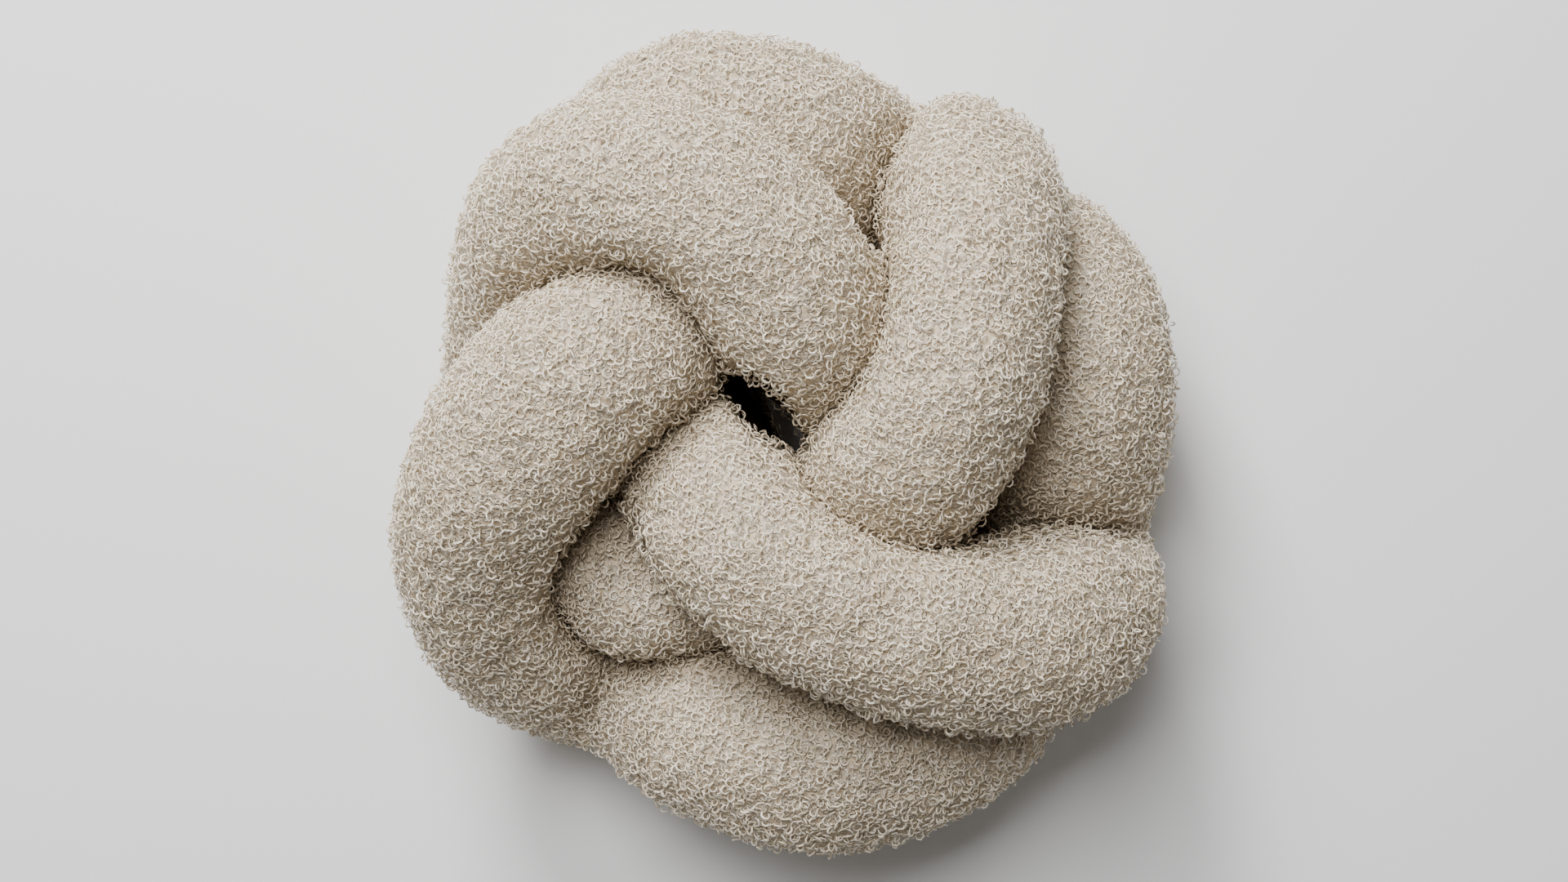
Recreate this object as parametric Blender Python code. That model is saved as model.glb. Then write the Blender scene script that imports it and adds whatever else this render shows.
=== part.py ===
"""A round knot cushion: one long stuffed tube of loop-pile cloth, tied into a thick pinwheel knot.

The tube is closed on itself.  Four times on its way round it comes up through the middle, swings
out over its neighbours as a broad arm, goes over the rim, and returns lower down as a tail that
fills the gap between two arms and passes under them.  Where two stretches press on each other,
both are flat, and the cloth bulges elsewhere to hold the same filling.
"""

import math

import bpy
import numpy as np

# Driving dimensions, in metres
TUBE_RADIUS = 0.034          # the stuffed tube before it is squeezed
SEAM_GAP = 0.0022            # clearance where two stretches of the tube lie face to face
BULGE_LIMIT = 1.20           # a squeezed stretch may be this much fuller than a free one
FILLING = 0.95               # share of the round section's area that every section keeps
SOFTNESS = 9.0               # how round the shoulders of a flattened side are, lower is rounder
OWN_REACH = 0.060            # stretches closer than this along the tube are the same bend
SELF_SKIP = 0.015            # the nearest stretch, which sets no limit at all
BEND_SHARE = 0.86            # how far the inside of a bend reaches towards the bend's centre
EASING_ROUNDS = 2            # how often the route's sharper turns are eased
FILLING_ROUNDS = 4           # how often the bulge is worked out again from the squeezed shape
FAR_AWAY = 1.0               # the room there is where no other stretch limits it
RESTING_LEVEL = -0.079       # the surface that the knot lies on, below its middle

RINGS = 168                  # sections along the tube
SIDES = 24                   # sides of each section
CURVE_DETAIL = 40            # fine points for each row of the route

NAME = "knotted_tube"
CLOTH_COLOUR = (0.78, 0.71, 0.62, 1.0)
CLOTH_ROUGHNESS = 0.85

# The route of the tube's middle line in millimetres: across, up the face, and height over the
# middle of the knot, with the tube's fullness there in per cent.  Each arm starts as a tail at
# the rim and ends where it has gone over the rim.
UPPER_LEFT_ARM = (
    # across,  up, height, fullness
    (-46, -91, -38, 94),     # bottom lobe, left end
    (-18, -108, -8, 108),
    (22, -118, -5, 106),     # bottom lobe, crest
    (58, -110, -15, 104),
    (80, -89, -39, 98),
    (65, -54, -50, 98),      # under the lower right arm
    (51, -8, -40, 98),       # under the upper right arm
    (41, 18, -8, 98),
    (20, 34, 26, 98),        # up beside the middle
    (5, 51, 42, 97),
    (-15, 75, 44, 96),       # top of the arm
    (-40, 90, 43, 95),
    (-61, 86, 33, 95),
    (-77, 74, 9, 94),        # over the rim
    (-84, 52, -19, 94),
)
UPPER_RIGHT_ARM = (
    (-92, 22, -38, 96),      # hidden behind the lower left arm
    (-95, -8, -52, 100),
    (-86, -34, -48, 100),
    (-72, -45, -27, 102),
    (-57, -53, -7, 108),     # small lobe between the two lower arms
    (-31, -51, -13, 104),
    (0, -53, -22, 98),       # under the lower right arm
    (22, -38, 3, 98),        # up beside the middle
    (39, -19, 28, 98),
    (53, 2, 42, 95),
    (67, 30, 45, 93),        # top of the arm
    (72, 60, 38, 94),
    (76, 85, 16, 96),
    (66, 92, -16, 96),       # over the rim
)
LOWER_RIGHT_ARM = (
    (45, 92, -40, 86),
    (20, 106, -14, 102),
    (-12, 114, -7, 108),     # top lobe, crest
    (-36, 113, -12, 104),
    (-52, 99, -31, 98),
    (-55, 74, -46, 98),      # under the upper left arm
    (-49, 35, -48, 98),      # under the lower left arm
    (-38, 4, -36, 96),
    (-25, -9, -3, 94),
    (-16, -27, 32, 90),      # up beside the middle
    (-4, -42, 43, 87),
    (14, -54, 45, 88),       # top of the arm
    (48, -68, 43, 93),
    (79, -71, 32, 103),
    (103, -67, 13, 105),     # over the rim
    (112, -59, -16, 93),
)
LOWER_LEFT_ARM = (
    (106, -35, -41, 93),
    (112, -5, -18, 103),
    (115, 29, -8, 106),      # right lobe, crest
    (108, 52, -13, 104),
    (90, 67, -34, 98),
    (55, 60, -47, 98),       # under the upper right arm
    (16, 55, -45, 98),       # under the upper left arm
    (-8, 57, -24, 98),
    (-30, 53, 3, 100),
    (-53, 35, 28, 105),      # up beside the middle
    (-73, 18, 38, 110),
    (-93, -7, 36, 106),      # top of the arm
    (-105, -33, 24, 93),
    (-107, -57, 5, 82),
    (-93, -77, -18, 80),     # over the rim
    (-71, -84, -42, 86),
)
ARMS = (UPPER_LEFT_ARM, UPPER_RIGHT_ARM, LOWER_RIGHT_ARM, LOWER_LEFT_ARM)
MILLIMETRE = 0.001
PER_CENT = 0.01


def unit(vectors):
    """The same vectors, each one metre long."""
    return vectors / np.linalg.norm(vectors, axis=-1, keepdims=True)


def steps_between(rows):
    """Distance from each row's place to the next, round the closed route."""
    return np.linalg.norm(np.roll(rows, -1, axis=0)[:, :3] - rows[:, :3], axis=1)


def evenly_spaced(rows, count):
    """A number of rows at equal steps round a closed route, fullness and all."""
    travelled = np.concatenate(([0.0], np.cumsum(steps_between(rows))))
    closed = np.vstack((rows, rows[:1]))
    wanted = np.linspace(0.0, travelled[-1], count, endpoint=False)
    return np.stack([np.interp(wanted, travelled, column) for column in closed.T], axis=1)


def smooth_closed_route(points, count):
    """Even rows on the closed cubic spline that runs through the route."""
    size = len(points)
    step = steps_between(points)
    start = np.concatenate(([0.0], np.cumsum(step)))
    before = np.roll(step, 1)
    matrix = np.zeros((size, size))
    for row in range(size):
        matrix[row, row - 1] += before[row]
        matrix[row, row] += 2.0 * (before[row] + step[row])
        matrix[row, (row + 1) % size] += step[row]
    slope = (np.roll(points, -1, axis=0) - points) / step[:, None]
    bend = np.linalg.solve(matrix, 6.0 * (slope - np.roll(slope, 1, axis=0)))
    place = np.linspace(0.0, start[-1], CURVE_DETAIL * size, endpoint=False)
    index = np.searchsorted(start, place, side="right") - 1
    after = (index + 1) % size
    past = (place - start[index])[:, None]
    left = (start[index + 1] - place)[:, None]
    width = step[index][:, None]
    curve = (bend[index] * left ** 3 + bend[after] * past ** 3) / (6.0 * width)
    curve += (points[index] / width - bend[index] * width / 6.0) * left
    curve += (points[after] / width - bend[after] * width / 6.0) * past
    return evenly_spaced(curve, count)


def eased(rows):
    """The same closed route with its sharper turns drawn in a little."""
    for _ in range(EASING_ROUNDS):
        rows = (np.roll(rows, 1, axis=0) + 2.0 * rows + np.roll(rows, -1, axis=0)) / 4.0
    return rows


def section_axes(curve):
    """Two axes across the tube at each ring, carried along without twist and closed at the end."""
    tangent = unit(np.roll(curve, -1, axis=0) - np.roll(curve, 1, axis=0))
    side = np.zeros_like(curve)
    side[0] = unit(np.cross(tangent[0], (0.0, 0.0, 1.0)))
    for ring in range(1, len(curve)):
        side[ring] = unit(side[ring - 1] - tangent[ring] * np.dot(side[ring - 1], tangent[ring]))
    last = unit(side[-1] - tangent[0] * np.dot(side[-1], tangent[0]))
    twist = math.atan2(np.dot(np.cross(last, side[0]), tangent[0]), np.dot(last, side[0]))
    turn = (twist * np.arange(len(curve)) / len(curve))[:, None]
    up = np.cross(tangent, side)
    turned = side * np.cos(turn) + up * np.sin(turn)
    return turned, np.cross(turned, tangent)


def room_each_way(curve, fullness, directions):
    """How far the cloth goes in each direction before it meets another stretch.

    The two share the distance between them by their fullness, so both are flat on one plane.
    """
    rings = len(curve)
    spacing = np.linalg.norm(curve[1] - curve[0])
    order = np.arange(rings)
    room = np.empty(directions.shape[:2])
    for ring in range(rings):
        offset = curve - curve[ring]
        distance = np.linalg.norm(offset, axis=1)
        apart = np.abs(order - ring)
        along = np.minimum(apart, rings - apart) * spacing
        gap = np.where(along > OWN_REACH, SEAM_GAP, 0.0)
        lean = directions[ring] @ offset.T
        share = fullness[ring] / (fullness[ring] + fullness)
        meeting = distance * (share * distance - 0.5 * gap)
        meeting *= np.where(along > OWN_REACH, 1.0, BEND_SHARE)
        meets = (lean > 0.0) & (along > SELF_SKIP)
        reach = np.where(meets, meeting / np.where(meets, lean, 1.0), FAR_AWAY)
        room[ring] = np.minimum(FAR_AWAY, reach.min(axis=1))
    return room


def soft_limit(radius, room):
    """The smaller of the tube's radius and the room there is, with a rounded change-over."""
    return (radius[:, None] ** -SOFTNESS + room ** -SOFTNESS) ** (-1.0 / SOFTNESS)


def squeezed_radii(fullness, room):
    """Radius of every section in every direction, fuller where its sides are pressed flat."""
    free = TUBE_RADIUS * fullness
    wanted = math.pi * free ** 2 * FILLING
    radius = free
    for _ in range(FILLING_ROUNDS):
        size = soft_limit(radius, room)
        area = math.pi * (size ** 2).mean(axis=1)
        radius = np.clip(radius * np.sqrt(wanted / area), free, free * BULGE_LIMIT)
        radius = (np.roll(radius, 1) + 2.0 * radius + np.roll(radius, -1)) / 4.0
    return soft_limit(radius, room)


def knot_surface():
    """Corner points of the whole tube, ring by ring, with the face up and the rest at zero."""
    units = (MILLIMETRE, MILLIMETRE, MILLIMETRE, PER_CENT)
    route = np.array([row for arm in ARMS for row in arm], dtype=float) * units
    rows = evenly_spaced(eased(smooth_closed_route(route, RINGS)), RINGS)
    curve = rows[:, :3]
    fullness = rows[:, 3]
    side, up = section_axes(curve)
    angle = 2.0 * math.pi * np.arange(SIDES) / SIDES
    cosine = np.cos(angle)[None, :, None]
    sine = np.sin(angle)[None, :, None]
    directions = side[:, None, :] * cosine + up[:, None, :] * sine
    radii = squeezed_radii(fullness, room_each_way(curve, fullness, directions))
    points = curve[:, None, :] + directions * radii[:, :, None]
    points[..., 2] = np.maximum(points[..., 2], RESTING_LEVEL)
    flat = points.reshape(-1, 3)
    middle = (flat.min(axis=0) + flat.max(axis=0)) / 2.0
    return flat - (middle[0], middle[1], RESTING_LEVEL)


def make_cloth():
    """Cream loop-pile cloth."""
    material = bpy.data.materials.new("cream_loop_cloth")
    material.use_nodes = True
    shader = material.node_tree.nodes["Principled BSDF"]
    shader.inputs["Base Color"].default_value = CLOTH_COLOUR
    shader.inputs["Roughness"].default_value = CLOTH_ROUGHNESS
    shader.inputs["Metallic"].default_value = 0.0
    return material


def make_knot(collection):
    """A torus has the tube's rings and sides, and each of its corners moves to its knot place."""
    bpy.ops.mesh.primitive_torus_add(major_segments=RINGS, minor_segments=SIDES)
    knot = bpy.context.object
    knot.name = NAME
    knot.data.name = NAME
    knot.data.vertices.foreach_set("co", knot_surface().ravel())
    knot.data.update()
    knot.data.shade_smooth()
    knot.data.materials.append(make_cloth())
    for owner in list(knot.users_collection):
        owner.objects.unlink(knot)
    collection.objects.link(knot)
    return knot


def main():
    for item in list(bpy.data.objects):
        bpy.data.objects.remove(item, do_unlink=True)
    collection = bpy.data.collections.new("knot_cushion")
    bpy.context.scene.collection.children.link(collection)
    make_knot(collection)


main()
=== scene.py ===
# %% [markdown]
# A round knot cushion of cream loop-pile cloth, lying on its back with its knotted face up.
# The real one is a single long tube of cloth, stuffed and tied. Its pile is made of thousands of
# small glossy curls, so the looks come from three things: the plump shape, the curls, and the
# warm shade between the arms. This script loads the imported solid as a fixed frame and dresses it.

# %% Load the frame
import math

import bmesh
import bpy
import numpy as np
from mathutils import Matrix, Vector, kdtree, noise
from mathutils.bvhtree import BVHTree


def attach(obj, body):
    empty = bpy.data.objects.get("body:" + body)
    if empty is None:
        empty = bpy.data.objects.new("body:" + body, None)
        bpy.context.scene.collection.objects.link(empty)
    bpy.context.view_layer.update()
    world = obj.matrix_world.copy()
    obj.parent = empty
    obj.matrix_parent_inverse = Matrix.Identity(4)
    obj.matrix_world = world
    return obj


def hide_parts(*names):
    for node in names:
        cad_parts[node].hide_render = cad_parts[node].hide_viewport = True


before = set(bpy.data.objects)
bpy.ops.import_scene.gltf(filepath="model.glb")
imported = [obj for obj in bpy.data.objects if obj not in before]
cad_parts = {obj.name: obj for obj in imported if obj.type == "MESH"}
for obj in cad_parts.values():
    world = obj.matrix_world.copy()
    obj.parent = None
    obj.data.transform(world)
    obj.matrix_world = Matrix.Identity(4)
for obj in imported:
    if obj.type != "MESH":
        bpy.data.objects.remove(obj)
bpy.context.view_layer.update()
MILLIMETRE = 0.001

# %% [markdown]
# The photograph looks straight down on the face. A camera can be placed from its lens and
# distance, or from what a pixel is worth on the object. The second is used here. The size of the
# cushion is an estimate, which makes a pixel 0.3 mm at the height of the middle of the tube.

# %% Camera
PIXEL = 0.3 * MILLIMETRE            # what one pixel covers at the middle height of the cushion
PHOTO_WIDTH = 1920
PHOTO_HEIGHT = 1080
FACE_CENTRE = (967.0, 539.0)        # the pixel that the middle of the cushion's box falls on
MIDDLE_HEIGHT = 0.079               # about half the height of the cushion, in metres
CAMERA_DISTANCE = 0.95              # from the lens to that height
SENSOR_WIDTH = 36.0                 # in millimetres, as Blender has it


def make_camera():
    """A camera straight above the face, with the top of the photograph towards +Y."""
    data = bpy.data.cameras.new("photo_camera")
    data.sensor_width = SENSOR_WIDTH
    data.lens = SENSOR_WIDTH * CAMERA_DISTANCE / (PHOTO_WIDTH * PIXEL)
    camera = bpy.data.objects.new("photo_camera", data)
    bpy.context.scene.collection.objects.link(camera)
    across = (PHOTO_WIDTH / 2 - FACE_CENTRE[0]) * PIXEL
    up = (FACE_CENTRE[1] - PHOTO_HEIGHT / 2) * PIXEL
    camera.location = (across, up, MIDDLE_HEIGHT + CAMERA_DISTANCE)
    bpy.context.scene.camera = camera
    return camera


camera = make_camera()
print("lens in mm:", round(camera.data.lens, 1))

# %% [markdown]
# Every finish below is a small network of shader nodes. They could be laid out by hand, or
# written node by node. Written as sums they are shorter and easier to read, so one class wraps a
# socket, and an expression on two of them adds the Math node that works it out.

# %% Shader sums
class Value:
    """A number that varies over the surface: a node's output socket, ready for sums."""

    def __init__(self, finish, socket):
        self.finish = finish
        self.socket = socket

    def sum(self, operation, first, second):
        """The result of a Math node on two numbers."""
        node = self.finish.node("ShaderNodeMath", {"operation": operation}, {0: first, 1: second})
        return Value(self.finish, node.outputs[0])

    def __add__(self, other):
        return self.sum("ADD", self, other)

    def __radd__(self, other):
        return self.sum("ADD", other, self)

    def __sub__(self, other):
        return self.sum("SUBTRACT", self, other)

    def __rsub__(self, other):
        return self.sum("SUBTRACT", other, self)

    def __mul__(self, other):
        return self.sum("MULTIPLY", self, other)

    def __rmul__(self, other):
        return self.sum("MULTIPLY", other, self)

    def __truediv__(self, other):
        return self.sum("DIVIDE", self, other)

    def __pow__(self, other):
        return self.sum("POWER", self, other)

    def __abs__(self):
        return self.sum("ABSOLUTE", self, 0.0)

    def or_higher(self, other):
        """Whichever of the two numbers is higher."""
        return self.sum("MAXIMUM", self, other)

    def limited(self):
        """The same number, kept from 0 to 1."""
        node = self.finish.node("ShaderNodeClamp", {}, {"Value": self})
        return Value(self.finish, node.outputs[0])


class Finish:
    """A new material with a Principled shader, and the method that adds any other node."""

    def __init__(self, name):
        self.material = bpy.data.materials.new(name)
        self.material.use_nodes = True
        self.tree = self.material.node_tree
        self.shader = self.tree.nodes["Principled BSDF"]

    def node(self, kind, settings, inputs):
        """A node of that type: its settings first, then the values or links of its sockets."""
        node = self.tree.nodes.new(kind)
        for name, value in settings.items():
            setattr(node, name, value)
        for name, value in inputs.items():
            self.plug(node.inputs[name], value)
        return node

    def plug(self, socket, value):
        """Links a socket or a sum, and sets anything else as the socket's own value."""
        if isinstance(value, Value):
            value = value.socket
        if isinstance(value, bpy.types.NodeSocket):
            self.tree.links.new(value, socket)
        else:
            socket.default_value = value

    def stored(self, name):
        """A number that the mesh keeps for each of its points."""
        node = self.node("ShaderNodeAttribute", {"attribute_name": name}, {})
        return Value(self, node.outputs["Fac"])

    def place(self):
        """Where the point is on the object, in metres."""
        return self.node("ShaderNodeTexCoord", {}, {}).outputs["Object"]

    def cloud(self, size):
        """Soft noise with patches of that size, from 0 to 1."""
        inputs = {"Vector": self.place(), "Scale": 1.0 / size}
        node = self.node("ShaderNodeTexNoise", {"noise_dimensions": "3D"}, inputs)
        return Value(self, node.outputs[0])

    def mixed(self, share, first, second):
        """The first colour where the share is 0, and the second where it is 1."""
        node = self.node("ShaderNodeMix", {"data_type": "RGBA"}, {0: share})
        colours = [socket for socket in node.inputs if socket.type == "RGBA"]
        self.plug(colours[0], first)
        self.plug(colours[1], second)
        return next(socket for socket in node.outputs if socket.type == "RGBA")

    def bumped(self, height, distance):
        """The surface's normal, tilted by a height of up to that distance in metres."""
        inputs = {"Height": height, "Distance": distance, "Strength": 1.0}
        return self.node("ShaderNodeBump", {}, inputs).outputs["Normal"]

    def set(self, **sockets):
        """Sets or links the shader's own sockets, with spaces written as underscores."""
        for name, value in sockets.items():
            self.plug(self.shader.inputs[name.replace("_", " ")], value)
        return self.material


print("shader sums are ready")

# %% [markdown]
# Under the pile is the knitted ground of the cloth, which is what holds the stuffing. A pressure
# simulation is the usual way to plump a cushion, but here the tube lies against itself along its
# whole length, and a simulation either joins the stretches or pushes them through each other. The
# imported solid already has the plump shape, so its mesh is copied, smoothed by subdivision, sunk
# by the depth of the pile, and given the small unevenness that stuffing leaves.

# %% The ground of the cloth
PILE_DEPTH = 2.0 * MILLIMETRE       # how far the ground lies under the tips of the pile
LUMP_SIZE = 26 * MILLIMETRE         # the stuffing's unevenness
LUMP_HEIGHT = 1.9 * MILLIMETRE
CRUMPLE_SIZE = 8 * MILLIMETRE       # the ground's own small waves
CRUMPLE_HEIGHT = 0.8 * MILLIMETRE
SMOOTHING_LEVELS = 2
WELD_DISTANCE = 0.01 * MILLIMETRE
JOIN_ANGLE = math.radians(60)       # triangles that meet or differ by less are joined in pairs


def welded_copy(node, name):
    """A new mesh object with the node's shape, its triangles joined back into four-sided faces."""
    cage = bmesh.new()
    cage.from_mesh(node.data)
    bmesh.ops.remove_doubles(cage, verts=cage.verts, dist=WELD_DISTANCE)
    bmesh.ops.join_triangles(
        cage, faces=cage.faces, angle_face_threshold=JOIN_ANGLE, angle_shape_threshold=JOIN_ANGLE)
    mesh = bpy.data.meshes.new(name)
    cage.to_mesh(mesh)
    cage.free()
    piece = bpy.data.objects.new(name, mesh)
    bpy.context.scene.collection.objects.link(piece)
    return piece


def smooth(piece, levels):
    """Gives the piece a Subdivision Surface and applies it."""
    modifier = piece.modifiers.new("smoothing", "SUBSURF")
    modifier.levels = levels
    shown = piece.evaluated_get(bpy.context.evaluated_depsgraph_get())
    fine = bpy.data.meshes.new_from_object(shown)
    piece.modifiers.clear()
    piece.data = fine
    piece.data.shade_smooth()


def point_places(mesh):
    """Where each point of the mesh lies, as rows of three coordinates."""
    places = np.empty(len(mesh.vertices) * 3, np.float32)
    mesh.vertices.foreach_get("co", places)
    return places.reshape(-1, 3).astype(float)


def point_normals(mesh):
    """Which way the surface faces at each point of the mesh."""
    normals = np.empty(len(mesh.vertices) * 3, np.float32)
    mesh.vertex_normals.foreach_get("vector", normals)
    return normals.reshape(-1, 3).astype(float)


def waves(places, size):
    """Smooth noise from -1 to 1 at each place."""
    return np.array([noise.noise(Vector(place) / size) for place in places])


ground = welded_copy(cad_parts["knotted_tube"], "cloth_ground")
print("cage faces:", len(ground.data.polygons))
smooth(ground, SMOOTHING_LEVELS)
print("ground faces:", len(ground.data.polygons))

# %% [markdown]
# Light that sinks in between two arms bounces from curl to curl and comes out warmer and darker.
# The lamps do part of that. The rest is painted shade, set by a number on every point of the ground
# that says how open it is: rays leave the point, and the share that meets no other cloth is kept.

# %% How open each point is
OPEN_REACH = 45 * MILLIMETRE        # cloth further away than this shades nothing
START_OFF = 1.2 * MILLIMETRE        # how far off the surface the rays start
RAYS = 14                           # from each point
BLUR_ROUNDS = 3
STEEP = 0.8                         # a normal that rises more than this is nearly upright


def spread_directions(count):
    """Directions over the half sphere round +Z, closer together near the top, on a spiral."""
    index = np.arange(count) + 0.5
    rise = np.sqrt(1.0 - index / count)
    turn = index * math.pi * (3.0 - math.sqrt(5.0))
    out = np.sqrt(1.0 - rise ** 2)
    return np.stack((out * np.cos(turn), out * np.sin(turn), rise), axis=1)


def surface_frames(normals):
    """Two directions along the surface at each point, square to its normal."""
    helper = np.where(np.abs(normals[:, 2:]) < STEEP, (0.0, 0.0, 1.0), (1.0, 0.0, 0.0))
    first = np.cross(helper, normals)
    first /= np.linalg.norm(first, axis=1, keepdims=True)
    return first, np.cross(normals, first)


def blurred(mesh, values, rounds):
    """The values, each averaged with its neighbours along the mesh's edges."""
    edges = np.empty(len(mesh.edges) * 2, np.int32)
    mesh.edges.foreach_get("vertices", edges)
    first, second = edges.reshape(-1, 2).T
    for _ in range(rounds):
        total = values.copy()
        count = np.ones(len(values))
        for one, other in ((first, second), (second, first)):
            np.add.at(total, one, values[other])
            np.add.at(count, one, 1.0)
        values = total / count
    return values


def openness(mesh):
    """For each point, the share of rays that leave it and meet no cloth nearby."""
    places = point_places(mesh)
    normals = point_normals(mesh)
    tree = BVHTree.FromPolygons(places.tolist(), [tuple(face.vertices) for face in mesh.polygons])
    along, across = surface_frames(normals)
    directions = spread_directions(RAYS)
    free = np.zeros(len(places))
    for point in range(len(places)):
        axes = np.stack((along[point], across[point], normals[point]))
        start = Vector(places[point] + normals[point] * START_OFF)
        for ray in directions @ axes:
            hit = tree.ray_cast(start, Vector(ray), OPEN_REACH)[0]
            free[point] += hit is None
    return blurred(mesh, free / RAYS, BLUR_ROUNDS)


def store(mesh, name, values):
    """Keeps a number for each point of the mesh, where a finish can read it."""
    attribute = mesh.attributes.new(name, "FLOAT", "POINT")
    attribute.data.foreach_set("value", np.asarray(values, np.float32))


ground_open = openness(ground.data)
store(ground.data, "open", ground_open)
print("points by openness:", np.histogram(ground_open, bins=5, range=(0, 1))[0])

# %% [markdown]
# The imported solid reaches as far as the tips of the pile, so the ground is sunk under it. Where
# two stretches press on each other, the pile of both fills the groove between them, so there the
# ground is pushed out instead, and the fold closes to a soft line. Only the hole between the four
# arms stays open, and its walls draw back; later they are painted near black, which stands for the
# shade inside it. Two sizes of soft noise give the unevenness of hand stuffing.

# %% Sink the ground
CRUSHED = 0.06                      # less open than this, the pile is crushed flat
STANDING = 0.42                     # more open than this, it stands at its full depth
PRESSED_OUT = 1.8 * MILLIMETRE      # how far the ground fills the narrow gap of a fold
HOLE_CENTRE = (-9 * MILLIMETRE, 10 * MILLIMETRE)
HOLE_TURN = math.radians(-42)       # of its long axis, from +X
HOLE_HALF_LENGTH = 24 * MILLIMETRE
HOLE_HALF_WIDTH = 8.5 * MILLIMETRE
HOLE_FLOOR = 50 * MILLIMETRE        # the cloth below this height isn't part of the hole
HOLE_DEPTH = 4.0 * MILLIMETRE       # how far its walls draw back
HOLE_CORE = 0.5                     # the share of its size that draws back fully


def in_hole(places):
    """How far inside the hole each place is, from 0 past its rim to 1 along its middle."""
    across, up = (places[:, :2] - HOLE_CENTRE).T
    along = across * math.cos(HOLE_TURN) + up * math.sin(HOLE_TURN)
    beside = up * math.cos(HOLE_TURN) - across * math.sin(HOLE_TURN)
    distance = np.hypot(along / HOLE_HALF_LENGTH, beside / HOLE_HALF_WIDTH)
    return np.interp(distance, (HOLE_CORE, 1.0), (1.0, 0.0)) * (places[:, 2] > HOLE_FLOOR)


def stuff_unevenly(mesh, opened):
    """Sinks the surface under the pile, uneven as stuffing is, and returns how deep the hole is."""
    places = point_places(mesh)
    normals = point_normals(mesh)
    height = LUMP_HEIGHT * waves(places, LUMP_SIZE) + CRUMPLE_HEIGHT * waves(places, CRUMPLE_SIZE)
    standing = np.interp(opened, (CRUSHED, STANDING), (0.0, 1.0))
    hole = in_hole(places)
    offset = (height - PILE_DEPTH) * standing + PRESSED_OUT * (1.0 - standing) * (1.0 - hole)
    offset -= HOLE_DEPTH * hole
    places += normals * offset[:, None]
    mesh.vertices.foreach_set("co", places.ravel())
    mesh.update()
    return hole


ground_hole = stuff_unevenly(ground.data, ground_open)
# kept for the painted darkness that stands for the shade inside the hole
store(ground.data, "hole", ground_hole)
print("points in the hole:", int((ground_hole > 0.5).sum()))

# %% [markdown]
# The curls are real geometry, because their rings catch the light one by one and make the
# cushion's fuzzy outline. Hair could be grown instead, but it would not survive an export, and a
# bump alone stays flat at the rim. First the roots of the curls are scattered: random places are
# tried, and one that lies too close to a kept one is dropped, which spreads them evenly.

# %% Where the curls grow
TRIES = 340_000                     # random places, of which about one in fifteen is kept
SEED = 11
FACE_SPACING = 1.85 * MILLIMETRE    # between roots on what shows from above
SIDE_SPACING = 2.7 * MILLIMETRE     # on the steep sides
UNDER_SPACING = 7.0 * MILLIMETRE    # underneath, where the cushion lies on them
SPACINGS = (UNDER_SPACING, SIDE_SPACING, SIDE_SPACING, FACE_SPACING)
SPACING_RISES = (-0.6, -0.2, 0.1, 0.5)  # how much the normal rises where each of them holds
SHUT = 0.07                         # less open than this, two stretches press on each other
BARE = 0.3                          # deeper in the hole than this, nothing of the pile shows


def scattered(mesh, point_open, count, chance):
    """Random places on the mesh, even over its area, with their normals and openness."""
    mesh.calc_loop_triangles()
    corners = np.empty(len(mesh.loop_triangles) * 3, np.int32)
    mesh.loop_triangles.foreach_get("vertices", corners)
    corners = corners.reshape(-1, 3)
    places = point_places(mesh)
    origin, one_end, other_end = places[corners].transpose(1, 0, 2)
    area = np.linalg.norm(np.cross(one_end - origin, other_end - origin), axis=1)
    chosen = chance.choice(len(corners), size=count, p=area / area.sum())
    first, second = chance.random((2, count))
    folded = first + second > 1.0
    first = np.where(folded, 1.0 - first, first)
    second = np.where(folded, 1.0 - second, second)
    weights = np.stack((1.0 - first - second, first, second), axis=1)[:, :, None]
    picked = corners[chosen]
    normals = (point_normals(mesh)[picked] * weights).sum(axis=1)
    normals /= np.linalg.norm(normals, axis=1, keepdims=True)
    opened = (point_open[picked] * weights[:, :, 0]).sum(axis=1)
    return (places[picked] * weights).sum(axis=1), normals, opened


def spacing_at(normals):
    """How far apart the roots are: closest on the face, further on the sides and underneath."""
    return np.interp(normals[:, 2], SPACING_RISES, SPACINGS)


def thinned(places, spacing):
    """Which of the places stay when no two may be closer than the spacing there."""
    tree = kdtree.KDTree(len(places))
    for index, place in enumerate(places):
        tree.insert(place, index)
    tree.balance()
    kept = np.ones(len(places), bool)
    for index, place in enumerate(places):
        if kept[index]:
            for _, other, _ in tree.find_range(place, spacing[index]):
                if other > index:
                    kept[other] = False
    return kept


chance = np.random.default_rng(SEED)
roots, root_normals, root_open = scattered(ground.data, ground_open, TRIES, chance)
grown = (root_open > SHUT) & (in_hole(roots) < BARE)
roots, root_normals, root_open = roots[grown], root_normals[grown], root_open[grown]
kept = thinned(roots, spacing_at(root_normals))
roots, root_normals, root_open = roots[kept], root_normals[kept], root_open[kept]
print("curls:", len(roots))

# %% [markdown]
# Some curls are nearly closed rings and some are open hooks, as on the real cloth. All of one
# kind are worked out together, as arrays: an arc for each root, leaning by a random angle from
# lying flat to standing up, a little oval, tighter towards one end, and turned like a spring. The
# yarn has three sides, to stay light. Joined in a few large meshes the curls load quickly, and
# each mesh holds one sector of the cushion.

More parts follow.
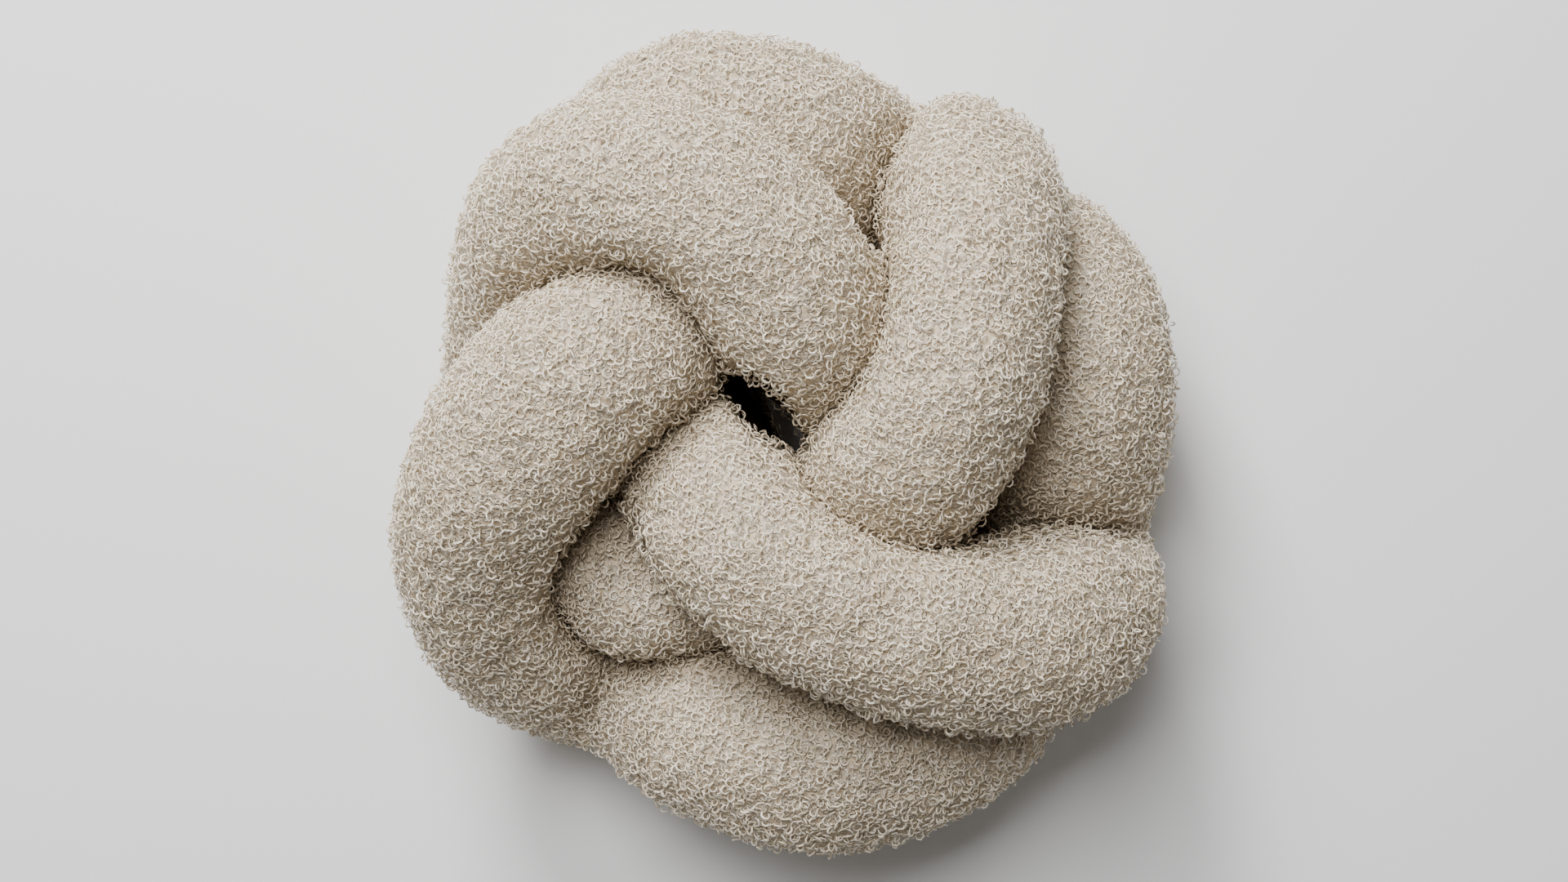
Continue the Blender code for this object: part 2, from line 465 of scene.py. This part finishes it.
# %% The curls
CURL_RADIUS = (1.25 * MILLIMETRE, 2.0 * MILLIMETRE)
YARN_RADIUS = (0.34 * MILLIMETRE, 0.48 * MILLIMETRE)
LEAN = (math.radians(5), math.radians(85))  # from lying flat
FLATNESS = 2.2                      # above 1, more curls lie flat than stand up
LIFT = (0.2 * MILLIMETRE, 1.5 * MILLIMETRE)  # of a curl's centre over the ground
LEANING_LIFT = 0.5                  # and more, by this share of the height that leaning gives it
OVAL = (0.8, 1.1)                   # a curl's width over its height
TIGHTENING = (0.0, 0.4)             # how much smaller the radius is at a curl's inner end
SPRING = 0.9 * MILLIMETRE           # how far the two ends lie apart along the curl's axis
YARN_SIDES = 3
FULL_UNTIL = 0.3                    # the yarn is full this far from its middle, of 0.5 in all
END_THINNING = 0.6                  # how thick its ends are, as a share
RING_ARC = (math.radians(285), math.radians(345))
RING_SEGMENTS = 6
RING_SECTORS = 3
HOOK_ARC = (math.radians(150), math.radians(235))
HOOK_SEGMENTS = 4
HOOK_SECTORS = 2
RING_SHARE = 0.62                   # of all curls, the rest being hooks
FLOOR_CLEARANCE = 0.1 * MILLIMETRE  # no curl reaches lower than this


def curl_directions(normals, chance):
    """Each curl's width, height and axis as directions, and the angle at which it leans."""
    count = len(normals)
    along, across = surface_frames(normals)
    heading = chance.uniform(0.0, 2.0 * math.pi, (count, 1))
    width = along * np.cos(heading) + across * np.sin(heading)
    length = np.cross(normals, width)
    lean = LEAN[0] + (LEAN[1] - LEAN[0]) * chance.random((count, 1)) ** FLATNESS
    height = length * np.cos(lean) + normals * np.sin(lean)
    return width, height, np.cross(width, height), lean


def curl_points(places, normals, arc_range, segments, chance):
    """Corner points of every curl: curls, sections, corners, coordinates."""
    count = len(places)
    width, height, axis, lean = curl_directions(normals, chance)
    radius = chance.uniform(*CURL_RADIUS, (count, 1))
    yarn = chance.uniform(*YARN_RADIUS, count)
    oval = chance.uniform(*OVAL, (count, 1))
    spring = chance.uniform(-SPRING, SPRING, (count, 1))
    arc = chance.uniform(*arc_range, count)
    tightening = chance.uniform(*TIGHTENING, (count, 1))
    lift = chance.uniform(*LIFT, (count, 1)) + radius * np.sin(lean) * LEANING_LIFT
    centre = places + normals * lift
    step = np.linspace(-0.5, 0.5, segments + 1)
    turn = math.pi / 2 + arc[:, None] * step
    cosine, sine = np.cos(turn)[:, :, None], np.sin(turn)[:, :, None]
    outward = width[:, None] * cosine * oval[:, None] + height[:, None] * sine
    reach = radius * (1.0 - tightening * (step + 0.5))
    middle = centre[:, None] + reach[:, :, None] * outward
    middle += axis[:, None] * spring[:, None] * step[None, :, None]
    thick = yarn[:, None] * np.interp(np.abs(step), (FULL_UNTIL, 0.5), (1.0, END_THINNING))
    corner = 2.0 * math.pi * np.arange(YARN_SIDES) / YARN_SIDES
    rim = (outward[:, :, None] * np.cos(corner)[:, None]
           + axis[:, None, None] * np.sin(corner)[:, None])
    points = middle[:, :, None] + rim * thick[:, :, None, None]
    points[..., 2] = np.maximum(points[..., 2], FLOOR_CLEARANCE)
    return points


def curl_faces(count, segments):
    """Four-sided faces along every curl, as rows of point numbers, and its two closing ends."""
    section = np.arange(segments)[:, None] * YARN_SIDES
    corner = np.arange(YARN_SIDES)
    beside = (corner + 1) % YARN_SIDES
    sides = np.stack((section + corner, section + beside, section + beside + YARN_SIDES,
                      section + corner + YARN_SIDES), axis=-1).reshape(-1, 4)
    ends = np.array((corner[::-1], segments * YARN_SIDES + corner))
    start = (np.arange(count) * (segments + 1) * YARN_SIDES)[:, None, None]
    return (sides + start).reshape(-1, 4), (ends + start).reshape(-1, YARN_SIDES)


def make_pile(name, points, opened, chance):
    """One mesh of many curls, with a tone and an openness on each of its points."""
    count, sections = points.shape[:2]
    sides, ends = curl_faces(count, sections - 1)
    mesh = bpy.data.meshes.new(name)
    mesh.from_pydata(points.reshape(-1, 3).tolist(), [], sides.tolist() + ends.tolist())
    mesh.shade_smooth()
    store(mesh, "tone", np.repeat(chance.random(count), sections * YARN_SIDES))
    store(mesh, "open", np.repeat(opened, sections * YARN_SIDES))
    piece = bpy.data.objects.new(name, mesh)
    bpy.context.scene.collection.objects.link(piece)
    return piece


def grow(name, chosen, arc_range, segments, sectors, chance):
    """The chosen curls, as one piece for each sector of the cushion."""
    made = []
    around = chosen[np.argsort(np.arctan2(roots[chosen, 1], roots[chosen, 0]))]
    for number, part in enumerate(np.array_split(around, sectors)):
        points = curl_points(roots[part], root_normals[part], arc_range, segments, chance)
        made.append(make_pile(f"{name}_{number + 1}", points, root_open[part], chance))
    return made


ringed = chance.random(len(roots)) < RING_SHARE
rings = grow("rings", np.flatnonzero(ringed), RING_ARC, RING_SEGMENTS, RING_SECTORS, chance)
hooks = grow("hooks", np.flatnonzero(~ringed), HOOK_ARC, HOOK_SEGMENTS, HOOK_SECTORS, chance)
pile = rings + hooks
for piece in pile:
    piece.data.calc_loop_triangles()
    print(piece.name, "triangles:", len(piece.data.loop_triangles))

# %% [markdown]
# Ground and curls are the same cream yarn, so both are ivory to pale where the cloth is open.
# Painted shade turns them to a warm tan in the folds and to brown where no light gets in. The
# ground lies lower and shows between the curls, so it also has pale curls drawn in relief and in
# colour, as rings round random points, with painted shade between them. The curls are glossy, as
# in the photograph. Shading alone could draw them all, but not at the rim.

# %% The finish of the yarn
IVORY = (0.81, 0.69, 0.50, 1.0)
PALE = (0.98, 0.885, 0.74, 1.0)
# painted shade in the gaps between the drawn rings of the ground
SHADED = (0.60, 0.49, 0.35, 1.0)
# painted shade: warm tan in the folds and brown where no light gets in
FOLD_SHADE_TAN = (0.66, 0.55, 0.40, 1.0)
SHUT_SHADE_BROWN = (0.32, 0.24, 0.16, 1.0)
# painted darkness that stands for the shade inside the hole
HOLE_SHADE_DARK = (0.022, 0.012, 0.006, 1.0)   # inside the hole
FOLD_START = 0.64                   # less open than this, the colour turns to tan
FOLD_RANGE = 0.48                   # and it is all tan this much further in
FOLD_SOFTNESS = 1.4                 # above 1, it turns slowly at first
SHUT_IN = 0.12                      # less open than this, it turns to brown
LOWER_CURLS = 3.2 * MILLIMETRE      # between the random points that drawn rings go round
UPPER_CURLS = 2.5 * MILLIMETRE
UPPER_SHIFT = (0.013, 0.007, 0.021)  # in metres, so that the two layers don't coincide
LOWER_SHARE = 0.7                   # how strong the lower layer is next to the upper
DRAWN_RADIUS = 0.4                  # of a drawn ring, where 1 is the distance between points
DRAWN_SHARPNESS = 6.0               # how fast it falls off on both sides
RING_RELIEF = 1.2 * MILLIMETRE
FUZZ_SIZE = 0.9 * MILLIMETRE
FUZZ_SHARE = 0.2                    # of the relief, the rest being drawn rings


def painted_fold_shade(finish, colour):
    """The colour with painted shade: warmer in the folds and dark where the cloth is shut in."""
    opened = finish.stored("open")
    fold = ((FOLD_START - opened) / FOLD_RANGE).limited()
    shut = ((SHUT_IN - opened) / SHUT_IN).limited()
    # painted shade, warm in the folds and brown where the cloth is shut in
    warmed = finish.mixed(fold ** FOLD_SOFTNESS, colour, FOLD_SHADE_TAN)
    return finish.mixed(shut, warmed, SHUT_SHADE_BROWN)


def drawn_curls(finish, size, shift):
    """Thin arcs of yarn drawn round random points, 1 on the yarn and 0 beside it."""
    added = {0: finish.place(), 1: shift}
    moved = finish.node("ShaderNodeVectorMath", {"operation": "ADD"}, added)
    inputs = {"Vector": moved.outputs[0], "Scale": 1.0 / size}
    cells = finish.node("ShaderNodeTexVoronoi", {}, inputs)
    distance = Value(finish, cells.outputs["Distance"])
    return (1.0 - abs(distance - DRAWN_RADIUS) * DRAWN_SHARPNESS).limited()


def ground_finish():
    """Matt yarn with two layers of curls in relief and in colour, painted shade between the curls,
    in the folds and inside the hole.
    """
    finish = Finish("cloth_ground_yarn")
    lower = drawn_curls(finish, LOWER_CURLS, (0.0, 0.0, 0.0))
    upper = drawn_curls(finish, UPPER_CURLS, UPPER_SHIFT)
    yarn = (lower * LOWER_SHARE).or_higher(upper)
    # pale on the drawn rings, painted shade between them
    colour = finish.mixed(yarn, SHADED, PALE)
    # painted shade in the folds
    folded = painted_fold_shade(finish, colour)
    relief = yarn * (1.0 - FUZZ_SHARE) + finish.cloud(FUZZ_SIZE) * FUZZ_SHARE
    # the hole's walls are painted near black, as painted shade
    return finish.set(
        Base_Color=finish.mixed(finish.stored("hole"), folded, HOLE_SHADE_DARK), Roughness=0.9,
        Specular_IOR_Level=0.0, Normal=finish.bumped(relief, RING_RELIEF))


def curl_finish():
    """Glossy yarn, each curl with its own tone."""
    finish = Finish("curl_yarn")
    colour = finish.mixed(finish.stored("tone"), IVORY, PALE)
    # the curls get the same painted shade in the folds
    return finish.set(
        Base_Color=painted_fold_shade(finish, colour), Roughness=0.3, Coat_Weight=0.6,
        Coat_Roughness=0.12)


ground.data.materials.append(ground_finish())
curl_yarn = curl_finish()
for piece in pile:
    piece.data.materials.append(curl_yarn)
print("finishes:", [material.name for material in bpy.data.materials])

# %% [markdown]
# The photograph is lit softly from above its top edge, so the sides of the arms that face the top
# are pale and those that face the bottom are in shade. A lamp from there does it. A larger one
# overhead reaches into the recesses, and a weak even light stands for the room.

# %% Floor and light
KEY_PLACE = (-0.38, 1.05, 0.95)
KEY_SIZE = 0.45
KEY_POWER = 26.0                    # in watts
CEILING_PLACE = (-0.25, 0.50, 1.35)
CEILING_SIZE = 0.7
CEILING_POWER = 20.0
ROOM_LIGHT = 0.13
ROOM_COLOUR = (1.0, 0.99, 0.97, 1.0)
FLOOR_COLOUR = (0.93, 0.93, 0.93, 1.0)
FLOOR_SIZE = 4.0


def make_floor():
    """A plain pale floor under the cushion."""
    bpy.ops.mesh.primitive_plane_add(size=FLOOR_SIZE)
    floor = bpy.context.object
    floor.name = "floor"
    finish = Finish("pale_floor")
    floor.data.materials.append(finish.set(Base_Color=FLOOR_COLOUR, Roughness=0.9))


def make_light(name, place, size, power):
    """A square lamp at that place, aimed at the middle of the cushion."""
    data = bpy.data.lights.new(name, "AREA")
    data.size = size
    data.energy = power
    light = bpy.data.objects.new(name, data)
    bpy.context.scene.collection.objects.link(light)
    light.location = place
    aim = Vector((0.0, 0.0, MIDDLE_HEIGHT)) - light.location
    light.rotation_euler = aim.to_track_quat("-Z", "Y").to_euler()


def light_room(colour, strength):
    """Even light from all round."""
    world = bpy.data.worlds.new("room")
    world.use_nodes = True
    background = world.node_tree.nodes["Background"]
    background.inputs["Color"].default_value = colour
    background.inputs["Strength"].default_value = strength
    bpy.context.scene.world = world


make_floor()
make_light("key", KEY_PLACE, KEY_SIZE, KEY_POWER)
make_light("ceiling", CEILING_PLACE, CEILING_SIZE, CEILING_POWER)
light_room(ROOM_COLOUR, ROOM_LIGHT)
print("lamps:", [lamp.name for lamp in bpy.data.lights])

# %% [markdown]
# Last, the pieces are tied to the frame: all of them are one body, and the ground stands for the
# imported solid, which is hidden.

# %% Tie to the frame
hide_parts("knotted_tube")
for piece in [ground, *pile]:
    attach(piece, "root")
